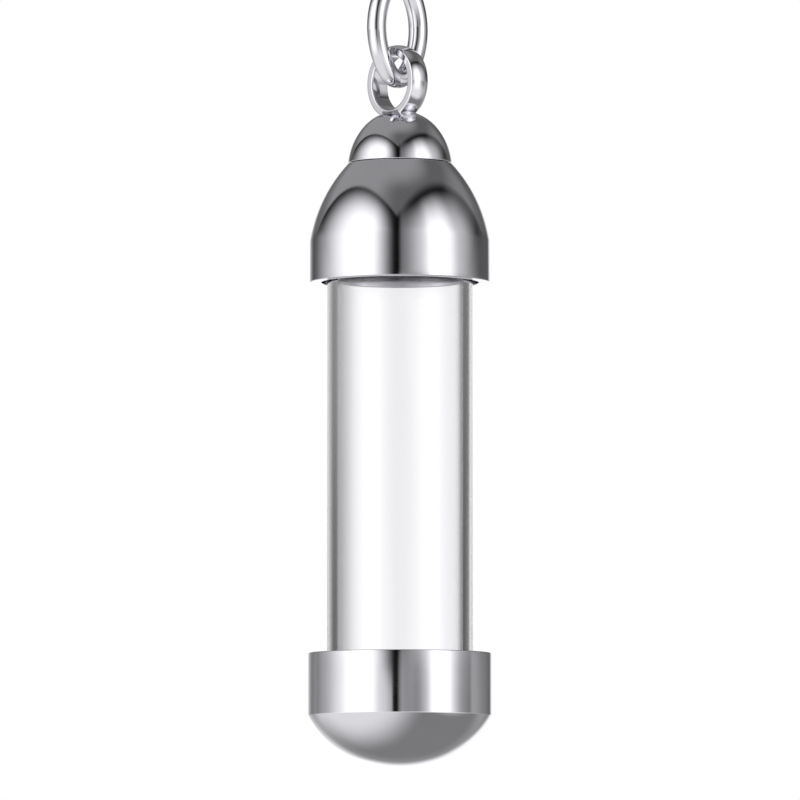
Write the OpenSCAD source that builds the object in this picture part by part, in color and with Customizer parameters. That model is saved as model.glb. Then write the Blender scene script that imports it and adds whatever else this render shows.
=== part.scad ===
// Bottle pendant: a clear glass tube between a turned bell cap and a turned
// bottom cap. A screw stopper closes the bell, and the ring on the stopper
// hangs on an oval link.
// Z is up, -Y is the front. The origin is the top of the link's opening,
// where the link hangs, and every piece is placed downwards from there. The
// turned pieces share an axis that is ring_offset to the right of the origin.

/* [Hanging link] */
// Length over the oval link
link_length = 6.7; // [5.8:0.1:9]
// Width over the oval link
link_width = 4.1; // [3.7:0.1:5.4]
// Thickness of the link's wire
link_wire = 1.08; // [0.8:0.02:1.2]
// Radius of the link's ends, at the middle of the wire
link_end_radius = 0.85; // [0.75:0.05:1.2]
// How much thinner the wire is where it is bent round the ends
link_end_thinning = 0.02; // [0.01:0.01:0.06]

/* [Ring] */
// Outer diameter of the ring
ring_diameter = 4.2; // [4:0.02:6]
// Thickness of the ring's band, from its flat inside to its crown
ring_thickness = 0.58; // [0.5:0.02:0.8]
// Width of the ring's band
ring_band = 1.16; // [1:0.02:1.4]
// Radius of the crown on the band's outside, across the band
ring_crown_radius = 1.2; // [0.8:0.05:1.4]
// Turn of the ring about the vertical, its right side to the front
ring_turn = 50; // [30:1:60]
// How far the ring stands to the left of the dome's middle
ring_offset = 0.14; // [0:0.02:0.3]
// Gap between the ring and the link that it hangs on
hang_gap = 0.05; // [0.03:0.01:0.1]
// How far the foot of the ring is sunk into the dome
ring_sink = 0.54; // [0.4:0.02:0.8]

/* [Stopper] */
// Height of the dome
dome_height = 2.95; // [2.4:0.05:3.4]
// Radius of the dome's rounded top
dome_crown_radius = 2.7; // [2.4:0.05:3.2]
// Share of the dome's foot radius that the rounded top covers
dome_crown_share = 0.72; // [0.6:0.02:0.8]
// Diameter of the stud, over its thread
stud_diameter = 3.9; // [3:0.1:4.4]
// Length of the stud under the dome
stud_length = 2.8; // [1.8:0.1:3.2]
// Gap between the stud and its bore, all round
stud_gap = 0.05; // [0.03:0.01:0.08]
// Seam between the dome and the bell
seam_gap = 0.04; // [0.02:0.01:0.1]

/* [Bell cap] */
// Height of the bell
bell_height = 6.64; // [6.2:0.05:9]
// Diameter of the bell
bell_diameter = 10.04; // [9.9:0.02:12]
// Radius of the bell's flat top, and of the dome's foot
bell_top_radius = 2.9; // [2.7:0.05:3.4]
// Height of the straight part at the bell's rim
bell_straight = 2.3; // [1.6:0.1:2.8]
// Radius of the bell's shoulder in side view
bell_shoulder_radius = 8.35; // [6:0.05:12]
// Depth of the tube's socket in the bell
bell_socket = 3.3; // [2.6:0.1:3.6]

/* [Glass tube] */
// Outer diameter of the tube
glass_diameter = 8.1; // [7.6:0.1:8.2]
// Wall of the tube
glass_wall = 0.55; // [0.4:0.05:0.9]
// Length of the tube
glass_length = 26.4; // [16:0.1:40]
// Gap between the tube and the metal in each socket
glass_gap = 0.05; // [0.03:0.01:0.08]
// Width of the wider recess round the tube at each rim
recess_gap = 0.28; // [0.2:0.02:0.3]
// Depth of that recess
recess_depth = 1.2; // [0.8:0.1:1.6]

/* [Bottom cap] */
// Diameter of the bottom cap
base_diameter = 10.2; // [9.9:0.05:12]
// Height of the straight collar
collar_height = 3.43; // [3:0.05:5]
// Depth of the tube's socket in the bottom cap
base_socket = 2.6; // [2:0.1:2.9]
// Height of the dome under the collar
base_dome_height = 2.9; // [2.3:0.05:3.4]
// Radius of the flatter middle of that dome
base_crown_radius = 6.6; // [5.9:0.1:8]
// Share of the cap's radius that the flatter middle covers
base_crown_share = 0.42; // [0.3:0.02:0.5]

/* [Hidden] */
$fn = 96;

steel = [0.78, 0.79, 0.8];
clear_glass = [0.86, 0.91, 0.93, 0.35];

// The link's middle line is an oval of four arcs
link_end_wire = link_wire - link_end_thinning;
link_half_width = (link_width - link_wire) / 2;
link_half_length = (link_length - link_end_wire) / 2;
link_end_y = link_half_length - link_end_radius;
link_side_radius = (link_half_width^2 + link_end_y^2 - link_end_radius^2)
    / (2 * (link_half_width - link_end_radius));
link_side_x = link_side_radius - link_half_width;
link_end_angle = atan2(link_end_y, link_side_x);
link_z = link_end_wire - link_length / 2;
// Degrees by which each end arc runs on inside the side arcs
link_overlap = 2;

// The ring drops into the link's end until the inner edges of its band are
// hang_gap from the wire, between the end arcs or, if they are too narrow for
// the band, between the side arcs
band_side = ring_band / 2;
end_reach = link_end_radius - link_wire / 2 - hang_gap;
side_reach = link_side_radius - link_wire / 2 - hang_gap;
ring_drop = band_side <= end_reach * cos(link_end_angle)
    ? link_end_y + sqrt(end_reach^2 - band_side^2)
    : sqrt(side_reach^2 - (link_side_x + band_side)^2);
ring_radius = ring_diameter / 2;
ring_hole_radius = ring_radius - ring_thickness;
ring_z = link_z - ring_drop - ring_hole_radius;

// Heights of the turned pieces, from the ring downwards
dome_top_z = ring_z - ring_radius + ring_sink;
dome_foot_z = dome_top_z - dome_height;
bell_top_z = dome_foot_z - seam_gap;
bell_rim_z = bell_top_z - bell_height;
glass_top_z = bell_rim_z + bell_socket - glass_gap;
glass_foot_z = glass_top_z - glass_length;
base_socket_z = glass_foot_z - glass_gap;
collar_top_z = base_socket_z + base_socket;
collar_foot_z = collar_top_z - collar_height;

// Radii of the turned pieces
bell_radius = bell_diameter / 2;
base_radius = base_diameter / 2;
glass_radius = glass_diameter / 2;
socket_radius = glass_radius + glass_gap;
recess_radius = glass_radius + recess_gap;
stud_bore_radius = stud_diameter / 2 + stud_gap;

// Centre of the arc of radius r that runs from p up to q and bulges outwards
function arc_centre(p, q, r) =
    let (mid = (p + q) / 2, run = q - p, half = norm(run) / 2)
    mid + sqrt(r^2 - half^2) * [-run.y, run.x] / norm(run);

// Piece of round wire, bent to an arc about the origin
module wire_arc(radius, start, sweep, wire) {
    rotate([0, 0, start])
        rotate_extrude(angle = sweep)
            translate([radius, 0]) circle(d = wire, $fn = 32);
}

// Section of the ring's band: flat inside and crowned outside
module band_section() {
    intersection() {
        translate([ring_hole_radius, -ring_band / 2])
            square([ring_thickness, ring_band]);
        translate([ring_radius - ring_crown_radius, 0])
            circle(r = ring_crown_radius);
    }
}

// Half outline of a dome that stands on y = 0: a rounded top, and a side
// arc that runs smoothly from the top to the foot
module dome_outline(foot_radius, height, crown_radius, crown_share) {
    crown_centre = [0, height - crown_radius];
    meet_x = crown_share * foot_radius;
    meet = [meet_x, crown_centre.y + sqrt(crown_radius^2 - meet_x^2)];
    inwards = (crown_centre - meet) / crown_radius;
    run = [foot_radius, 0] - meet;
    side_radius = (run * run) / (2 * (run * inwards));
    intersection() {
        translate(crown_centre) circle(r = crown_radius);
        translate([0, meet.y]) square([foot_radius, height]);
    }
    intersection() {
        translate(meet + side_radius * inwards) circle(r = side_radius);
        square([foot_radius, meet.y]);
    }
}

// Space that a cap leaves for the tube, upwards from the cap's rim
module socket_outline(depth) {
    square([socket_radius, depth]);
    square([recess_radius, recess_depth]);
}

module oval_link() {
    color(steel)
        translate([0, 0, link_z])
            rotate([90, 0, 90 - ring_turn])
                for (half = [0, 180]) rotate([0, 0, half]) {
                    translate([0, link_end_y])
                        wire_arc(link_end_radius,
                            link_end_angle - link_overlap,
                            180 - 2 * (link_end_angle - link_overlap),
                            link_end_wire);
                    translate([-link_side_x, 0])
                        wire_arc(link_side_radius, -link_end_angle,
                            2 * link_end_angle, link_wire);
                }
}

module stopper() {
    color(steel) {
        translate([0, 0, ring_z])
            rotate([90, 0, -ring_turn])
                rotate_extrude() band_section();
        translate([ring_offset, 0, dome_foot_z])
            rotate_extrude()
                dome_outline(bell_top_radius, dome_height,
                    dome_crown_radius, dome_crown_share);
        translate([ring_offset, 0, dome_foot_z - stud_length])
            cylinder(d = stud_diameter, h = stud_length + dome_height / 2);
    }
}

module bell_cap() {
    shoulder_z = bell_rim_z + bell_straight;
    shoulder_centre = arc_centre([bell_radius, shoulder_z],
        [bell_top_radius, bell_top_z], bell_shoulder_radius);
    color(steel)
        translate([ring_offset, 0])
            rotate_extrude()
                difference() {
                    union() {
                        intersection() {
                            translate(shoulder_centre)
                                circle(r = bell_shoulder_radius);
                            translate([0, shoulder_z])
                                square([bell_radius, bell_top_z - shoulder_z]);
                        }
                        translate([0, bell_rim_z])
                            square([bell_radius, bell_straight]);
                    }
                    translate([0, bell_rim_z])
                        square([stud_bore_radius, bell_height]);
                    translate([0, bell_rim_z]) socket_outline(bell_socket);
                }
}

module glass_tube() {
    color(clear_glass)
        translate([ring_offset, 0, glass_foot_z])
            rotate_extrude()
                translate([glass_radius - glass_wall, 0])
                    square([glass_wall, glass_length]);
}

module bottom_cap() {
    color(steel)
        translate([ring_offset, 0])
            rotate_extrude()
                difference() {
                    translate([0, collar_foot_z]) {
                        square([base_radius, collar_height]);
                        mirror([0, 1])
                            dome_outline(base_radius, base_dome_height,
                                base_crown_radius, base_crown_share);
                    }
                    translate([0, collar_top_z])
                        mirror([0, 1]) socket_outline(base_socket);
                }
}

oval_link();
stopper();
bell_cap();
glass_tube();
bottom_cap();
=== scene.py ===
"""Bottle pendant: a clear glass tube between two turned steel caps. The screw
stopper's ring hangs on an oval link. All lengths are in metres, +Z is up and
the photo's camera looks along +Y."""
import math

import bmesh
import bpy
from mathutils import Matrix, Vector


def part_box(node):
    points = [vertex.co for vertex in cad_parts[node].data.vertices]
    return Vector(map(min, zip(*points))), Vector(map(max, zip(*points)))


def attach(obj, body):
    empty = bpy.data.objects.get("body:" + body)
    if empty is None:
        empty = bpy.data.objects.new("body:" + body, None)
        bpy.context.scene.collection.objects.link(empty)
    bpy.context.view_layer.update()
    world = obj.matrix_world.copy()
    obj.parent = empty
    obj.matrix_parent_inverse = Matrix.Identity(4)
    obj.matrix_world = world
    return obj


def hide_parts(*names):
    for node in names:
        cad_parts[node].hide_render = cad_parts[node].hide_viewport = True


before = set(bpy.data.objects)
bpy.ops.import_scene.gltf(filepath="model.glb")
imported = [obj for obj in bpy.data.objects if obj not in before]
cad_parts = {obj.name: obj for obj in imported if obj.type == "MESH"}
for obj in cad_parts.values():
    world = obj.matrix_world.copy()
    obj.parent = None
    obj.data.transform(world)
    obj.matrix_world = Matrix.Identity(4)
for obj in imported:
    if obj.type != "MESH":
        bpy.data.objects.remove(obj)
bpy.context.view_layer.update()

MM = 0.001
TAU = 2 * math.pi
UP = Vector((0, 0, 1))

# Sizes that the solids' boxes don't give
LINK_WIRE = 1.08 * MM
LINK_WIDTH = 4.1 * MM
LINK_END_RADIUS = 0.85 * MM
RING_RADIUS = 2.1 * MM
RING_THICKNESS = 0.58 * MM
RING_BAND = 1.16 * MM
RING_CROWN_RADIUS = 1.2 * MM
RING_TURN = math.radians(50)
DOME_HEIGHT = 2.95 * MM
DOME_CROWN_RADIUS = 2.7 * MM
DOME_CROWN_SHARE = 0.72
STUD_LENGTH = 2.8 * MM
STUD_RADIUS = 1.95 * MM
BELL_TOP_RADIUS = 2.9 * MM
BELL_STRAIGHT = 2.3 * MM
BELL_SHOULDER_RADIUS = 8.35 * MM
BELL_BORE_RADIUS = 2.0 * MM
BELL_SOCKET = 3.3 * MM
GLASS_WALL = 0.55 * MM
SOCKET_GAP = 0.05 * MM
RECESS_GAP = 0.28 * MM
RECESS_DEPTH = 1.2 * MM
BASE_SOCKET = 2.6 * MM
BASE_DOME_HEIGHT = 2.9 * MM
BASE_CROWN_RADIUS = 6.6 * MM
BASE_CROWN_SHARE = 0.42

# Fine shapes that the solids leave out
BAND_ROUND = 0.1 * MM
EDGE_ROUND = 0.05 * MM
CREASE_ROUND = 0.12 * MM
GLASS_ROUND = 0.2 * MM
# How much wider a recess is at its rim than at its bottom
RECESS_FLARE = 0.045 * MM
THREAD_PITCH = 0.5 * MM
STUD_THREAD_DEPTH = 0.22 * MM
BORE_THREAD_DEPTH = 0.1 * MM
THREAD_RUN_OUT = 0.3 * MM
THREAD_STEEPNESS = 1.5

# Fineness of the meshes
ARC_STEP = math.radians(3)
TURNED_STEPS = 224
WIRE_SIDES = 40
WIRE_STEP = 0.06 * MM
RING_STEPS = 180
STUD_THREAD_STEP = THREAD_PITCH / 16
BORE_THREAD_STEP = THREAD_PITCH / 12
MERGE_DISTANCE = 0.0005 * MM
SHARP_ANGLE = math.radians(35)


def unit(angle):
    return Vector((math.cos(angle), math.sin(angle)))


def angle_at(centre, point):
    return math.atan2(point.y - centre.y, point.x - centre.x)


def arc(centre, radius, start, end):
    """Points of an arc in the (radius, height) plane, angles in radians."""
    steps = max(2, math.ceil(abs(end - start) / ARC_STEP))
    return [centre + radius * unit(start + (end - start) * i / steps) for i in range(steps + 1)]


def dome_arcs(foot_radius, height, crown_radius, crown_share):
    """A dome's half outline from its top to its foot at height 0: a crown and a side arc."""
    crown_centre = Vector((0, height - crown_radius))
    meet_x = crown_share * foot_radius
    meet = Vector((meet_x, crown_centre.y + math.sqrt(crown_radius**2 - meet_x**2)))
    inwards = (crown_centre - meet) / crown_radius
    run = Vector((foot_radius, 0)) - meet
    side_radius = run.length_squared / (2 * run.dot(inwards))
    side_centre = meet + side_radius * inwards
    crown = arc(crown_centre, crown_radius, math.pi / 2, angle_at(crown_centre, meet))
    side = arc(side_centre, side_radius, angle_at(side_centre, meet),
               angle_at(side_centre, Vector((foot_radius, 0))))
    return crown + side[1:]


def bulge_arc(low, high, radius):
    """The arc from low up to high that bulges outwards."""
    run = high - low
    half = run.length / 2
    aside = Vector((-run.y, run.x)) / run.length
    centre = (low + high) / 2 + math.sqrt(radius**2 - half**2) * aside
    return arc(centre, radius, angle_at(centre, low), angle_at(centre, high))


def straight(radius, start_z, end_z, step):
    """Points of a straight stretch along the axis, about step apart, from just past its start."""
    count = math.ceil(abs(end_z - start_z) / step)
    return [Vector((radius, start_z + (end_z - start_z) * (i + 1) / count)) for i in range(count)]


def rounded(outline):
    """Rounds corners of a closed outline. It holds plain points, and a (point, radius) pair for each
    corner that is rounded."""
    plain = [entry[0] if isinstance(entry, tuple) else entry for entry in outline]
    bends = {}
    for i, entry in enumerate(outline):
        if isinstance(entry, tuple):
            corner, radius = entry
            back = (plain[i - 1] - corner).normalized()
            ahead = (plain[(i + 1) % len(plain)] - corner).normalized()
            half = back.angle(ahead) / 2
            centre = corner + (back + ahead).normalized() * radius / math.sin(half)
            reach = radius / math.tan(half)
            start = angle_at(centre, corner + back * reach)
            turn = (angle_at(centre, corner + ahead * reach) - start + math.pi) % TAU - math.pi
            bends[i] = (corner, reach, arc(centre, radius, start, start + turn))
    result = []
    for i, point in enumerate(plain):
        if i in bends:
            result += bends[i][2]
        elif all((point - corner).length > reach for corner, reach, _ in bends.values()):
            result.append(point)
    return result


def grid_mesh(name, rows, loop=True):
    """A mesh from rows of points, each a closed ring. The rows close into a loop, or run from pole
    to pole."""
    mesh_edit = bmesh.new()
    rings = [[mesh_edit.verts.new(point) for point in row] for row in rows]
    following = rings[1:] + rings[:1] if loop else rings[1:]
    for ring, after in zip(rings, following):
        for i, vert in enumerate(ring):
            j = (i + 1) % len(ring)
            mesh_edit.faces.new((vert, ring[j], after[j], after[i]))
    bmesh.ops.remove_doubles(mesh_edit, verts=mesh_edit.verts, dist=MERGE_DISTANCE)
    bmesh.ops.recalc_face_normals(mesh_edit, faces=mesh_edit.faces)
    mesh = bpy.data.meshes.new(name)
    mesh_edit.to_mesh(mesh)
    mesh_edit.free()
    mesh.shade_smooth()
    mesh.set_sharp_from_angle(angle=SHARP_ANGLE)
    return mesh


def lathe(name, outline, loop=True, thread=None):
    """Turns an outline of (radius, height) points about the axis of the turned pieces. The depth
    thread(point, angle) comes off the radius."""
    low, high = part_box("bell_cap")
    axis_x = (low.x + high.x) / 2
    rows = []
    for point in outline:
        row = []
        for i in range(TURNED_STEPS):
            angle = TAU * i / TURNED_STEPS
            radius = max(0, point.x - (thread(point, angle) if thread else 0))
            row.append((axis_x + radius * math.sin(angle), -radius * math.cos(angle), point.y))
        rows.append(row)
    return grid_mesh(name, rows, loop)


def sweep(name, path, section):
    """A section of (along side, outwards) points along a closed path of (point, tangent, side) frames."""
    rows = []
    for point, tangent, side in path:
        outwards = side.cross(tangent)
        rows.append([point + p.x * side + p.y * outwards for p in section])
    return grid_mesh(name, rows)


def turned_size(name):
    """Radius, foot and top of a turned solid."""
    low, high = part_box(name)
    return (high.x - low.x) / 2, low.z, high.z


def tube_room():
    """Radii of the tube's socket in a cap, and of the recess at the cap's rim."""
    glass_radius = turned_size("glass_tube")[0]
    return glass_radius + SOCKET_GAP, glass_radius + RECESS_GAP


def link_mesh():
    """Round wire along an oval of four arcs."""
    low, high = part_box("oval_link")
    centre = (low + high) / 2
    half_width = (LINK_WIDTH - LINK_WIRE) / 2
    half_length = (high.z - low.z - LINK_WIRE) / 2
    end_y = half_length - LINK_END_RADIUS
    side_radius = ((half_width**2 + end_y**2 - LINK_END_RADIUS**2)
                   / (2 * (half_width - LINK_END_RADIUS)))
    side_x = side_radius - half_width
    end_angle = math.atan2(end_y, side_x)
    arcs = ((Vector((-side_x, 0)), side_radius, -end_angle, end_angle),
            (Vector((0, end_y)), LINK_END_RADIUS, end_angle, math.pi - end_angle),
            (Vector((side_x, 0)), side_radius, math.pi - end_angle, math.pi + end_angle),
            (Vector((0, -end_y)), LINK_END_RADIUS, math.pi + end_angle, TAU - end_angle))
    turn = math.pi / 2 - RING_TURN
    right = Vector((math.cos(turn), math.sin(turn), 0))
    normal = Vector((math.sin(turn), -math.cos(turn), 0))
    path = []
    for arc_centre, radius, start, end in arcs:
        steps = math.ceil((end - start) * radius / WIRE_STEP)
        for i in range(steps):
            angle = start + (end - start) * i / steps
            flat = arc_centre + radius * unit(angle)
            along = -math.sin(angle) * right + math.cos(angle) * UP
            path.append((centre + flat.x * right + flat.y * UP, along, normal))
    section = [LINK_WIRE / 2 * unit(TAU * i / WIRE_SIDES) for i in range(WIRE_SIDES)]
    return sweep("oval_link_wire", path, section)


def ring_mesh():
    """The ring's band: flat inside, crowned outside, with rounded rims."""
    ring_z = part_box("stopper")[1].z - RING_RADIUS
    half = RING_BAND / 2
    rim_y = math.sqrt(RING_CROWN_RADIUS**2 - half**2) - RING_CROWN_RADIUS
    crown_centre = Vector((0, -RING_CROWN_RADIUS))
    crown = arc(crown_centre, RING_CROWN_RADIUS, angle_at(crown_centre, Vector((half, rim_y))),
                angle_at(crown_centre, Vector((-half, rim_y))))
    inner_rims = [Vector((-half, -RING_THICKNESS)), Vector((half, -RING_THICKNESS))]
    section = rounded([(crown[0], BAND_ROUND)] + crown[1:-1]
                      + [(rim, BAND_ROUND) for rim in [crown[-1]] + inner_rims])
    right = Vector((math.cos(RING_TURN), -math.sin(RING_TURN), 0))
    normal = Vector((math.sin(RING_TURN), math.cos(RING_TURN), 0))
    path = []
    for i in range(RING_STEPS):
        angle = TAU * i / RING_STEPS
        outwards = math.cos(angle) * right + math.sin(angle) * UP
        along = -math.sin(angle) * right + math.cos(angle) * UP
        path.append((ring_z * UP + RING_RADIUS * outwards, along, normal))
    return sweep("ring_band", path, section)


def thread_cut(height, angle, low, high, depth):
    """How deep a right-hand thread is cut at a height and an angle. It runs out at low and at high."""
    phase = (height / THREAD_PITCH - angle / TAU) % 1
    rise = THREAD_STEEPNESS * (1 - abs(2 * phase - 1)) - (THREAD_STEEPNESS - 1) / 2
    fade = min(1, (high - height) / THREAD_RUN_OUT, (height - low) / THREAD_RUN_OUT)
    return depth * max(0, fade) * min(1, max(0, rise))


def stopper_mesh():
    """The dome and its threaded stud, without the ring."""
    foot_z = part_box("stopper")[0].z
    seat_z = foot_z + STUD_LENGTH
    dome = [Vector((p.x, seat_z + p.y)) for p in
            dome_arcs(BELL_TOP_RADIUS, DOME_HEIGHT, DOME_CROWN_RADIUS, DOME_CROWN_SHARE)]
    outline = rounded(
        dome[:-1]
        + [(Vector((BELL_TOP_RADIUS, seat_z)), EDGE_ROUND), Vector((STUD_RADIUS, seat_z))]
        + straight(STUD_RADIUS, seat_z, foot_z + THREAD_RUN_OUT, STUD_THREAD_STEP)
        + [(Vector((STUD_RADIUS, foot_z)), THREAD_RUN_OUT), Vector((0, foot_z))])

    def thread(point, angle):
        if point.y > seat_z - EDGE_ROUND or point.x < STUD_RADIUS - EDGE_ROUND:
            return 0
        return thread_cut(point.y, angle, foot_z, seat_z, STUD_THREAD_DEPTH)

    return lathe("stopper_dome", outline, loop=False, thread=thread)


def bell_mesh():
    """The bell: a straight rim, a bulging shoulder, the threaded bore and the tube's socket."""
    radius, rim_z, top_z = turned_size("bell_cap")
    socket, recess = tube_room()
    ceiling_z = rim_z + BELL_SOCKET
    recess_z = rim_z + RECESS_DEPTH
    shoulder = bulge_arc(Vector((radius, rim_z + BELL_STRAIGHT)), Vector((BELL_TOP_RADIUS, top_z)),
                         BELL_SHOULDER_RADIUS)
    outline = rounded(
        [(Vector((radius, rim_z)), EDGE_ROUND)] + shoulder[:-1]
        + [(shoulder[-1], EDGE_ROUND), (Vector((BELL_BORE_RADIUS, top_z)), EDGE_ROUND)]
        + straight(BELL_BORE_RADIUS, top_z, ceiling_z, BORE_THREAD_STEP)
        + [Vector((socket, ceiling_z)), Vector((socket, recess_z)), Vector((recess, recess_z)),
           (Vector((recess + RECESS_FLARE, rim_z)), EDGE_ROUND)])

    def thread(point, angle):
        if point.y < ceiling_z or point.x > BELL_BORE_RADIUS + EDGE_ROUND / 2:
            return 0
        return -thread_cut(point.y, angle, ceiling_z, top_z, BORE_THREAD_DEPTH)

    return lathe("bell_shell", outline, thread=thread)


def glass_mesh():
    """The tube's wall, with its ends rounded."""
    outer, foot_z, top_z = turned_size("glass_tube")
    inner = outer - GLASS_WALL
    corners = ((outer, foot_z), (outer, top_z), (inner, top_z), (inner, foot_z))
    return lathe("tube_wall", rounded([(Vector(corner), GLASS_ROUND) for corner in corners]))


def base_mesh():
    """The bottom cap: the tube's socket, a straight collar and a rounded bottom."""
    radius, foot_z, rim_z = turned_size("bottom_cap")
    socket, recess = tube_room()
    floor_z = rim_z - BASE_SOCKET
    recess_z = rim_z - RECESS_DEPTH
    crease_z = foot_z + BASE_DOME_HEIGHT
    dome = [Vector((p.x, crease_z - p.y)) for p in
            dome_arcs(radius, BASE_DOME_HEIGHT, BASE_CROWN_RADIUS, BASE_CROWN_SHARE)]
    outline = rounded([
        Vector((0, floor_z)), Vector((socket, floor_z)), Vector((socket, recess_z)),
        Vector((recess, recess_z)), (Vector((recess + RECESS_FLARE, rim_z)), EDGE_ROUND),
        (Vector((radius, rim_z)), EDGE_ROUND), (Vector((radius, crease_z)), CREASE_ROUND)]
        + dome[-2::-1])
    return lathe("bottom_cap_shell", outline, loop=False)


def new_piece(name, mesh, body, material, replaced):
    piece = bpy.data.objects.new(name, mesh)
    bpy.context.scene.collection.objects.link(piece)
    mesh.materials.append(material)
    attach(piece, body)
    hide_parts(replaced)
    return piece


def weld(piece, mesh):
    """Joins a closed mesh to a piece, without the surfaces that end up inside."""
    added = bpy.data.objects.new(mesh.name, mesh)
    bpy.context.scene.collection.objects.link(added)
    join = piece.modifiers.new("weld", "BOOLEAN")
    join.operation = "UNION"
    join.solver = "EXACT"
    join.object = added
    bpy.context.view_layer.objects.active = piece
    bpy.ops.object.modifier_apply(modifier=join.name)
    bpy.data.objects.remove(added)


# The steel's tone and polish change softly, and its grain is far finer. Scales are per metre.
STEEL_TONES = ((0.765, 0.762, 0.8, 1), (0.835, 0.83, 0.875, 1))
STEEL_ROUGHNESS = (0.05, 0.1)
CLOUD_SCALE = 700
CLOUD_SPAN = (0.3, 0.7)
GRAIN_SCALE = 9000
GRAIN_HEIGHT = 0.002 * MM
GRAIN_STRENGTH = 0.06

# The glass has slight waves, drawn out along the tube, and a trace of haze
GLASS_TINT = (0.985, 0.985, 0.995, 1)
GLASS_IOR = 1.5
GLASS_ROUGHNESS = (0, 0.02)
WAVE_SCALE = 420
WAVE_STRETCH = (1, 1, 0.06)
WAVE_HEIGHT = 0.01 * MM
WAVE_STRENGTH = 0.1
HAZE_SCALE = 500
HAZE_SPAN = (0.4, 0.8)


def node(tree, kind, inputs=(), **settings):
    """A new node. inputs holds (socket, value or output) pairs, and settings its other properties."""
    made = tree.nodes.new(kind)
    for key, value in settings.items():
        setattr(made, key, value)
    for socket, value in inputs:
        if isinstance(value, bpy.types.NodeSocket):
            tree.links.new(value, made.inputs[socket])
        else:
            made.inputs[socket].default_value = value
    return made


def noise(tree, place, scale, detail):
    return node(tree, "ShaderNodeTexNoise", [("Vector", place), ("Scale", scale),
                                             ("Detail", detail)]).outputs[0]


def bump(tree, height, strength, distance):
    return node(tree, "ShaderNodeBump", [("Height", height), ("Strength", strength),
                                         ("Distance", distance)]).outputs[0]


def map_range(tree, value, span, levels, **settings):
    """Maps a value from a span, low end first, to two levels, and holds it at them beyond the span."""
    return node(tree, "ShaderNodeMapRange", [("Value", value), ("From Min", span[0]), ("From Max", span[1]),
                                             ("To Min", levels[0]), ("To Max", levels[1])],
                **settings).outputs[0]


def new_material(name):
    material = bpy.data.materials.new(name)
    material.use_nodes = True
    tree = material.node_tree
    return material, tree, tree.nodes["Principled BSDF"]


def polished_steel():
    material, tree, shader = new_material("polished_steel")
    place = node(tree, "ShaderNodeTexCoord").outputs["Object"]
    clouds = noise(tree, place, CLOUD_SCALE, detail=4)
    grain = noise(tree, place, GRAIN_SCALE, detail=3)
    tone = node(tree, "ShaderNodeMix", [(0, clouds), (6, STEEL_TONES[0]), (7, STEEL_TONES[1])],
                data_type="RGBA").outputs[2]
    tree.links.new(tone, shader.inputs["Base Color"])
    tree.links.new(map_range(tree, clouds, CLOUD_SPAN, STEEL_ROUGHNESS), shader.inputs["Roughness"])
    tree.links.new(bump(tree, grain, GRAIN_STRENGTH, GRAIN_HEIGHT), shader.inputs["Normal"])
    shader.inputs["Metallic"].default_value = 1
    return material


def clear_glass():
    material, tree, shader = new_material("clear_glass")
    place = node(tree, "ShaderNodeTexCoord").outputs["Object"]
    drawn = node(tree, "ShaderNodeMapping", [("Vector", place), ("Scale", WAVE_STRETCH)]).outputs[0]
    waves = noise(tree, drawn, WAVE_SCALE, detail=2)
    haze = noise(tree, place, HAZE_SCALE, detail=4)
    tree.links.new(map_range(tree, haze, HAZE_SPAN, GLASS_ROUGHNESS), shader.inputs["Roughness"])
    tree.links.new(bump(tree, waves, WAVE_STRENGTH, WAVE_HEIGHT), shader.inputs["Normal"])
    shader.inputs["Base Color"].default_value = GLASS_TINT
    shader.inputs["Transmission Weight"].default_value = 1
    shader.inputs["IOR"].default_value = GLASS_IOR
    return material


# The photo's camera and frame. The sensor's width alone is in millimetres, as Blender counts it.
CAMERA_X = 0.14 * MM
CAMERA_Z = -55.8 * MM
CAMERA_DISTANCE = 445 * MM
SENSOR_WIDTH = 36
CLIP_START = 10 * MM
CLIP_END = 20
PHOTO_CENTRE_Z = -23.04 * MM
PHOTO_PIXELS = 800
PIXELS_PER_MM = 18
PHOTO_WIDTH = PHOTO_PIXELS / PIXELS_PER_MM * MM

FLOOR_Z = -160 * MM
FLOOR_SIZE = 6.0
FLOOR_COLOUR = (0.9, 0.9, 0.9, 1)
FLOOR_ROUGHNESS = 0.8
FLOOR_EMISSION = 0.2
WHITE = (1, 1, 1, 1)

# The studio's lights stand all round, on walls at distance 1. Azimuths are in degrees: 0 is towards the
# camera and 90 to its right. A light is at its level over its full span, and fades out over the fade on each
# side of it. It ends between the two heights of its top, and starts between those of its foot.
LOW_TOP = (0.085, 0.05)
LOWER_TOP = (0.08, 0.05)
CARD_FOOT = (-0.6, -0.2)
FLAG_FOOT = (-0.3, 0.0)
# Large boxes to the left and right of the camera, and the dimmer light beside them
LEFT_BOX = {"azimuth": -60, "full": (7, 16), "fade": (91, 38.5), "level": 1.5,
            "top": (1.4, 0.5), "foot": (-0.6, 0.0)}
LEFT_SKIRT = {"azimuth": -60, "full": (45, 49), "fade": (14, 3), "level": 0.4,
              "top": LOWER_TOP, "foot": (-0.6, 0.0)}
RIGHT_BOX = {"azimuth": 55, "full": (-10, 3), "fade": (20, 26), "level": 0.8,
             "top": (1.35, 0.33), "foot": (-0.5, 0.0)}
RIGHT_WING = {"azimuth": 55, "full": (-15, 17), "fade": (40, 56), "level": 0.7,
              "top": (1.35, 0.33), "foot": (-1.2, -0.75)}
RIGHT_EDGE = {"azimuth": 110, "full": (-10, 20), "fade": (35, 30), "level": 0.1,
              "top": (1.2, 0.7), "foot": (0.2, 0.5)}
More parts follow.
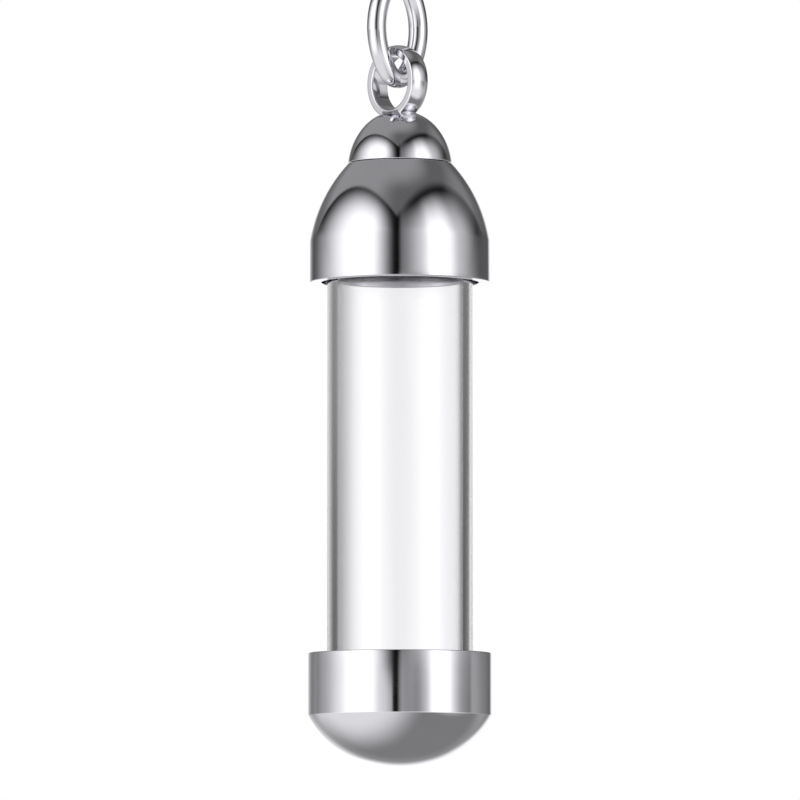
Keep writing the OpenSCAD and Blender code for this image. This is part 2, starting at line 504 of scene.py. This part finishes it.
# Dim cards: a tall one between the boxes, and low ones before it, to the right and at the back
GREY_CARD = {"azimuth": 12, "full": (-8, 14), "fade": (7, 10), "level": 0.19,
             "top": (1.2, 0.4), "foot": CARD_FOOT}
LOW_CARD = {"azimuth": 12, "full": (-12, -11), "fade": (4, 11), "level": 0.18,
            "top": LOWER_TOP, "foot": CARD_FOOT}
LOW_SIDE = {"azimuth": 120, "full": (-16, -4), "fade": (7, 50), "level": 0.18,
            "top": LOW_TOP, "foot": CARD_FOOT}
LOW_BACK = {"azimuth": -140, "full": (-10, 6), "fade": (40, 10), "level": 0.14,
            "top": LOW_TOP, "foot": CARD_FOOT}
# Dark cards that stand low before the boxes and take off some of their light
LEFT_FLAG = {"azimuth": -90, "full": (-8, 8), "fade": (26, 22), "level": -0.18,
             "top": LOW_TOP, "foot": FLAG_FOOT}
MIDDLE_FLAG = {"azimuth": 28, "full": (-4, 6), "fade": (14, 12), "level": -0.3,
               "top": LOW_TOP, "foot": FLAG_FOOT}
RIGHT_FLAG = {"azimuth": 76, "full": (-4, 10), "fade": (12, 30), "level": -0.25,
              "top": LOW_TOP, "foot": FLAG_FOOT}
# What stands behind the part and shows through the glass
BACKDROP = {"azimuth": 180, "full": (-13, 4), "fade": (9, 8), "level": 0.3,
            "top": (0.3, 0.12), "foot": (-0.7, -0.2)}
BACKDROP_GLOW = {"azimuth": 180, "full": (-17, 5), "fade": (12, 30), "level": 0.6,
                 "top": (0.3, 0.12), "foot": (-0.7, -0.2)}
BACK_WALL = {"azimuth": 180, "full": (-50, 50), "fade": (40, 50), "level": 0.1,
             "top": (0.6, 0.2), "foot": (-1.2, -0.4)}
LIGHTS = (LEFT_BOX, LEFT_SKIRT, RIGHT_BOX, RIGHT_WING, RIGHT_EDGE, GREY_CARD, LOW_CARD, LOW_SIDE,
          LOW_BACK, LEFT_FLAG, MIDDLE_FLAG, RIGHT_FLAG, BACKDROP, BACKDROP_GLOW, BACK_WALL)
# Of each edge of the ceiling: its azimuth, and the two heights that the ceiling sets in between
CEILING_EDGES = ((-60, 1.28, 1.45), (55, 1.27, 1.8), (180, 0.1, 0.8))
CEILING_LEVEL = 0.32
# The shade takes off some of the ceiling's light, but for the part straight overhead
CEILING_SHADE = {"azimuth": 12, "full": (-12, 140), "fade": (62, 30), "level": 0.19}
OVERHEAD = (1.0, 0.85)
# The floor's glow grows towards the left box, and the floor ends at the horizon
FLOOR_LEVEL = 0.23
FLOOR_GLOW = 0.64
GLOW_SPAN = (-0.12, 0.6)
HORIZON = (0.02, -0.45)
SURROUND_LEVEL = 0.005
# The least share of a direction that may count as ahead, so that heights stay finite to the side
LEAST_AHEAD = 0.12


def math_node(tree, operation, *values):
    return node(tree, "ShaderNodeMath", list(enumerate(values)), operation=operation).outputs[0]


def product(tree, first, *others):
    for value in others:
        first = math_node(tree, "MULTIPLY", first, value)
    return first


def smooth_step(tree, value, start, end):
    """0 at start and 1 at end, with a soft curve between."""
    levels = (0, 1) if start < end else (1, 0)
    return map_range(tree, value, sorted((start, end)), levels, interpolation_type="SMOOTHSTEP")


def toward(tree, direction, azimuth):
    """How far a direction goes towards an azimuth, to its right, and up."""
    a = math.radians(azimuth)
    ahead = node(tree, "ShaderNodeVectorMath", [(0, direction), (1, (math.sin(a), -math.cos(a), 0))],
                 operation="DOT_PRODUCT").outputs[1]
    aside = node(tree, "ShaderNodeVectorMath", [(0, direction), (1, (math.cos(a), math.sin(a), 0))],
                 operation="DOT_PRODUCT").outputs[1]
    up = node(tree, "ShaderNodeSeparateXYZ", [(0, direction)]).outputs[2]
    return ahead, aside, up


def across(tree, ahead, aside, light):
    """A light's brightness by azimuth."""
    angle = math_node(tree, "ARCTAN2", aside, ahead)
    (start, end), (fade_in, fade_out) = light["full"], light["fade"]
    rise = smooth_step(tree, angle, math.radians(start - fade_in), math.radians(start))
    fall = smooth_step(tree, angle, math.radians(end + fade_out), math.radians(end))
    return product(tree, rise, fall, light["level"])


def wall_height(tree, ahead, up):
    """Where a direction meets a wall straight ahead, as a height in distances to the wall."""
    return math_node(tree, "DIVIDE", up, math_node(tree, "MAXIMUM", ahead, LEAST_AHEAD))


def soft_light(tree, direction, light):
    """A light that fills a span of a wall square to its azimuth."""
    ahead, aside, up = toward(tree, direction, light["azimuth"])
    height = wall_height(tree, ahead, up)
    top = smooth_step(tree, height, *light["top"])
    foot = smooth_step(tree, height, *light["foot"])
    return product(tree, across(tree, ahead, aside, light), top, foot)


def ceiling(tree, direction):
    ahead, aside, up = toward(tree, direction, CEILING_SHADE["azimuth"])
    shade = product(tree, across(tree, ahead, aside, CEILING_SHADE), smooth_step(tree, up, *OVERHEAD))
    level = math_node(tree, "SUBTRACT", CEILING_LEVEL, shade)
    for azimuth, low, high in CEILING_EDGES:
        ahead, _, up = toward(tree, direction, azimuth)
        level = product(tree, level, smooth_step(tree, wall_height(tree, ahead, up), low, high))
    return level


def floor_light(tree, direction):
    ahead, _, up = toward(tree, direction, LEFT_BOX["azimuth"])
    glow = product(tree, smooth_step(tree, ahead, *GLOW_SPAN), FLOOR_GLOW)
    level = math_node(tree, "ADD", glow, FLOOR_LEVEL)
    return product(tree, level, smooth_step(tree, up, *HORIZON))


def studio():
    """A world that lights the part and shows in it, while the camera itself sees white."""
    world = bpy.data.worlds.new("studio")
    bpy.context.scene.world = world
    world.use_nodes = True
    tree = world.node_tree
    tree.nodes.clear()
    direction = node(tree, "ShaderNodeTexCoord").outputs["Generated"]
    level = math_node(tree, "ADD", ceiling(tree, direction), floor_light(tree, direction))
    for light in LIGHTS:
        level = math_node(tree, "ADD", level, soft_light(tree, direction, light))
    level = math_node(tree, "ADD", level, SURROUND_LEVEL)
    lit = node(tree, "ShaderNodeBackground", [("Color", level)]).outputs[0]
    seen = node(tree, "ShaderNodeBackground", [("Color", WHITE)]).outputs[0]
    camera_ray = node(tree, "ShaderNodeLightPath").outputs["Is Camera Ray"]
    mixed = node(tree, "ShaderNodeMixShader", [(0, camera_ray), (1, lit), (2, seen)]).outputs[0]
    node(tree, "ShaderNodeOutputWorld", [(0, mixed)])


def floor():
    bpy.ops.mesh.primitive_plane_add(size=FLOOR_SIZE, location=(0, 0, FLOOR_Z))
    plane = bpy.context.object
    plane.name = "studio_floor"
    material, _, shader = new_material("pale_floor")
    shader.inputs["Base Color"].default_value = FLOOR_COLOUR
    shader.inputs["Roughness"].default_value = FLOOR_ROUGHNESS
    shader.inputs["Emission Color"].default_value = WHITE
    shader.inputs["Emission Strength"].default_value = FLOOR_EMISSION
    plane.data.materials.append(material)
    plane.visible_glossy = False


def camera():
    data = bpy.data.cameras.new("camera")
    made = bpy.data.objects.new("camera", data)
    bpy.context.scene.collection.objects.link(made)
    made.location = (CAMERA_X, -CAMERA_DISTANCE, CAMERA_Z)
    aim = Vector((CAMERA_X, 0, PHOTO_CENTRE_Z)) - made.location
    made.rotation_euler = aim.to_track_quat("-Z", "Y").to_euler()
    data.sensor_width = SENSOR_WIDTH
    data.lens = SENSOR_WIDTH * aim.length / PHOTO_WIDTH
    data.clip_start = CLIP_START
    data.clip_end = CLIP_END
    bpy.context.scene.camera = made


def build():
    steel = polished_steel()
    new_piece("oval_link_wire", link_mesh(), "link", steel, "oval_link")
    dome = new_piece("stopper_dome", stopper_mesh(), "stopper", steel, "stopper")
    weld(dome, ring_mesh())
    new_piece("bell_shell", bell_mesh(), "bottle", steel, "bell_cap")
    new_piece("tube_wall", glass_mesh(), "bottle", clear_glass(), "glass_tube")
    new_piece("bottom_cap_shell", base_mesh(), "bottle", steel, "bottom_cap")


build()
studio()
floor()
camera()
bpy.context.scene.view_settings.view_transform = "Standard"
